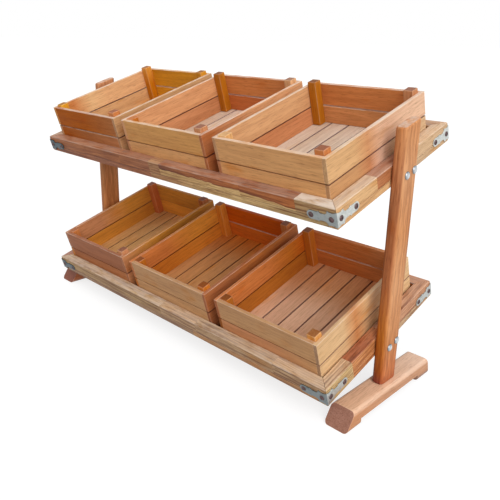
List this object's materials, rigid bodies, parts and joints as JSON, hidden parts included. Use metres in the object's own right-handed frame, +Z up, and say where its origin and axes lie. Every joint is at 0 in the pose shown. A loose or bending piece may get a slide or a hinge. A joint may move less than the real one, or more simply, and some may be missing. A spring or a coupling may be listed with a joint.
{
  "type": "basket display stand",
  "caption": "Tiered sloping wooden display stand with lift-out slatted crates in railed trays, bolted between posts on sled feet.",
  "frame": {"origin": "on the floor, under the middle of the stand's box", "axes": "+X along the trays to the right as seen from the front, +Y to the back, +Z up"},
  "size_m": [1.0826, 0.4066, 0.6476],
  "materials": {
    "foot_wood": "satin, sealed",
    "post_wood": "satin, sealed",
    "tray_wood": "satin, glued from mixed strips",
    "board_wood": "satin, glued from mixed strips",
    "upper_crate_wood": "satin, sealed",
    "lower_crate_wood": "satin, sealed",
    "crate_floor_wood": "bare, sawn",
    "galvanised_steel": "galvanised",
    "zinc_plate": "bright zinc plate"
  },
  "bodies": {
    "stand": {"left_foot": "foot_wood", "right_foot": "foot_wood", "left_post": "post_wood", "right_post": "post_wood", "lower_tray_base_board": "board_wood", "lower_tray_front_rail": "tray_wood", "lower_tray_back_rail": "tray_wood", "lower_tray_left_rail": "tray_wood", "lower_tray_right_rail": "tray_wood", "lower_front_right_brace": "galvanised_steel", "lower_back_right_brace": "galvanised_steel", "lower_back_left_brace": "galvanised_steel", "lower_front_left_brace": "galvanised_steel", "lower_left_front_bolt": "zinc_plate", "lower_left_back_bolt": "zinc_plate", "lower_right_front_bolt": "zinc_plate", "lower_right_back_bolt": "zinc_plate", "upper_tray_base_board": "board_wood", "upper_tray_front_rail": "tray_wood", "upper_tray_back_rail": "tray_wood", "upper_tray_left_rail": "tray_wood", "upper_tray_right_rail": "tray_wood", "upper_front_right_brace": "galvanised_steel", "upper_back_right_brace": "galvanised_steel", "upper_back_left_brace": "galvanised_steel", "upper_front_left_brace": "galvanised_steel", "upper_left_front_bolt": "zinc_plate", "upper_left_back_bolt": "zinc_plate", "upper_right_front_bolt": "zinc_plate", "upper_right_back_bolt": "zinc_plate"},
    "lower_left_crate": {"lower_left_crate_floor": "crate_floor_wood", "lower_left_crate_front": "lower_crate_wood", "lower_left_crate_back": "lower_crate_wood", "lower_left_crate_left_side": "lower_crate_wood", "lower_left_crate_right_side": "lower_crate_wood"},
    "lower_middle_crate": {"lower_middle_crate_floor": "crate_floor_wood", "lower_middle_crate_front": "lower_crate_wood", "lower_middle_crate_back": "lower_crate_wood", "lower_middle_crate_left_side": "lower_crate_wood", "lower_middle_crate_right_side": "lower_crate_wood"},
    "lower_right_crate": {"lower_right_crate_floor": "crate_floor_wood", "lower_right_crate_front": "lower_crate_wood", "lower_right_crate_back": "lower_crate_wood", "lower_right_crate_left_side": "lower_crate_wood", "lower_right_crate_right_side": "lower_crate_wood"},
    "upper_left_crate": {"upper_left_crate_floor": "crate_floor_wood", "upper_left_crate_front": "upper_crate_wood", "upper_left_crate_back": "upper_crate_wood", "upper_left_crate_left_side": "upper_crate_wood", "upper_left_crate_right_side": "upper_crate_wood"},
    "upper_middle_crate": {"upper_middle_crate_floor": "crate_floor_wood", "upper_middle_crate_front": "upper_crate_wood", "upper_middle_crate_back": "upper_crate_wood", "upper_middle_crate_left_side": "upper_crate_wood", "upper_middle_crate_right_side": "upper_crate_wood"},
    "upper_right_crate": {"upper_right_crate_floor": "crate_floor_wood", "upper_right_crate_front": "upper_crate_wood", "upper_right_crate_back": "upper_crate_wood", "upper_right_crate_left_side": "upper_crate_wood", "upper_right_crate_right_side": "upper_crate_wood"}
  },
  "joints": [
    {"name": "lower_left_crate_lift", "type": "slide", "parent": "stand", "child": "lower_left_crate", "axis": [0, -0.2924, 0.9563], "range_m": [0, 0.18]},
    {"name": "lower_middle_crate_lift", "type": "slide", "parent": "stand", "child": "lower_middle_crate", "axis": [0, -0.2924, 0.9563], "range_m": [0, 0.18]},
    {"name": "lower_right_crate_lift", "type": "slide", "parent": "stand", "child": "lower_right_crate", "axis": [0, -0.2924, 0.9563], "range_m": [0, 0.18]},
    {"name": "upper_left_crate_lift", "type": "slide", "parent": "stand", "child": "upper_left_crate", "axis": [0, -0.2924, 0.9563], "range_m": [0, 0.18]},
    {"name": "upper_middle_crate_lift", "type": "slide", "parent": "stand", "child": "upper_middle_crate", "axis": [0, -0.2924, 0.9563], "range_m": [0, 0.18]},
    {"name": "upper_right_crate_lift", "type": "slide", "parent": "stand", "child": "upper_right_crate", "axis": [0, -0.2924, 0.9563], "range_m": [0, 0.18]}
  ]
}
